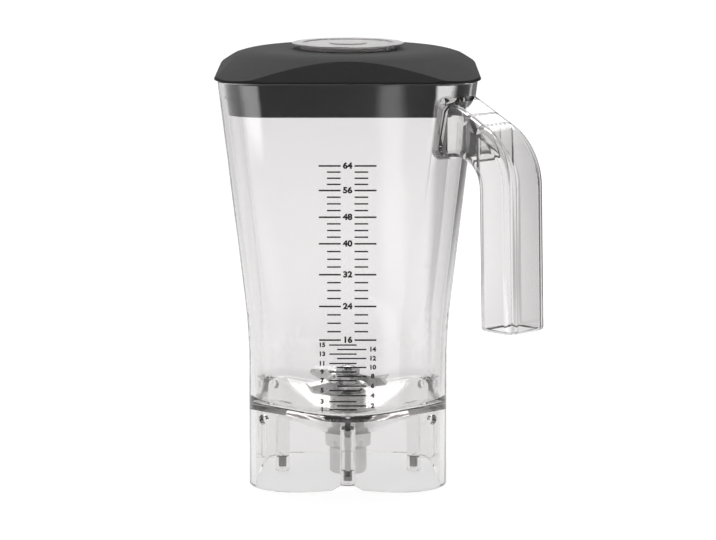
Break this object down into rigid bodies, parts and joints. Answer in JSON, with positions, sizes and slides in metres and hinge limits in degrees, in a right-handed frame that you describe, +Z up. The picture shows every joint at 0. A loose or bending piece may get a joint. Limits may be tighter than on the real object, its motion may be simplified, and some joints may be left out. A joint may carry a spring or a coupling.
{
  "type": "blender jar",
  "caption": "Tall clear blender jar with square flared body, corner handle, measuring scale, black rubber lid, clear filler cap and steel cutter with drive coupling.",
  "frame": {"origin": "on the cutter's axis, in the plane of the skirt's bottom rim", "axes": "+Z up along the cutter's axis, -Y towards the measuring scale, handle on the corner between +X and -Y"},
  "size_m": [0.1861, 0.1861, 0.2555],
  "materials": {
    "clear_plastic": "clear moulded polycarbonate",
    "clear_cap": "clear moulded plastic with turned rings",
    "black_rubber": "satin black",
    "seal_rubber": "matte",
    "steel": "turned and ground stainless steel",
    "bearing_steel": "ground",
    "coupling_steel": "machined, slightly dull",
    "scale_ink": "screen-printed black scale on the jar's front wall",
    "magnet": "dark plated"
  },
  "bodies": {
    "jar": {"jar": "clear_plastic", "cutter_housing": "steel", "housing_gasket": "seal_rubber", "nut_washer": "steel", "retaining_nut": "steel", "upper_bearing_outer": "bearing_steel", "lower_bearing_outer": "bearing_steel", "shaft_seal": "seal_rubber", "retaining_ring": "bearing_steel", "sensor_magnets": "magnet"},
    "cutter": {"spindle": "steel", "upper_bearing_inner": "bearing_steel", "lower_bearing_inner": "bearing_steel", "bearing_balls": "bearing_steel", "bearing_spacer": "steel", "lower_blade": "steel", "blade_spacer": "steel", "upper_blade": "steel", "blade_washer": "steel", "blade_nut": "steel", "drive_coupling": "coupling_steel"},
    "lid": {"lid": "black_rubber"},
    "filler_cap": {"filler_cap": "clear_cap"}
  },
  "joints": [
    {"name": "cutter_spin", "type": "hinge", "parent": "jar", "child": "cutter", "pos_m": [0, 0, 0.03], "axis": [0, 0, 1], "continuous": true},
    {"name": "lid_lift", "type": "slide", "parent": "jar", "child": "lid", "axis": [0, 0, 1], "range_m": [0, 0.1]},
    {"name": "filler_cap_lift", "type": "slide", "parent": "lid", "child": "filler_cap", "axis": [0, 0, 1], "range_m": [0, 0.05]}
  ]
}
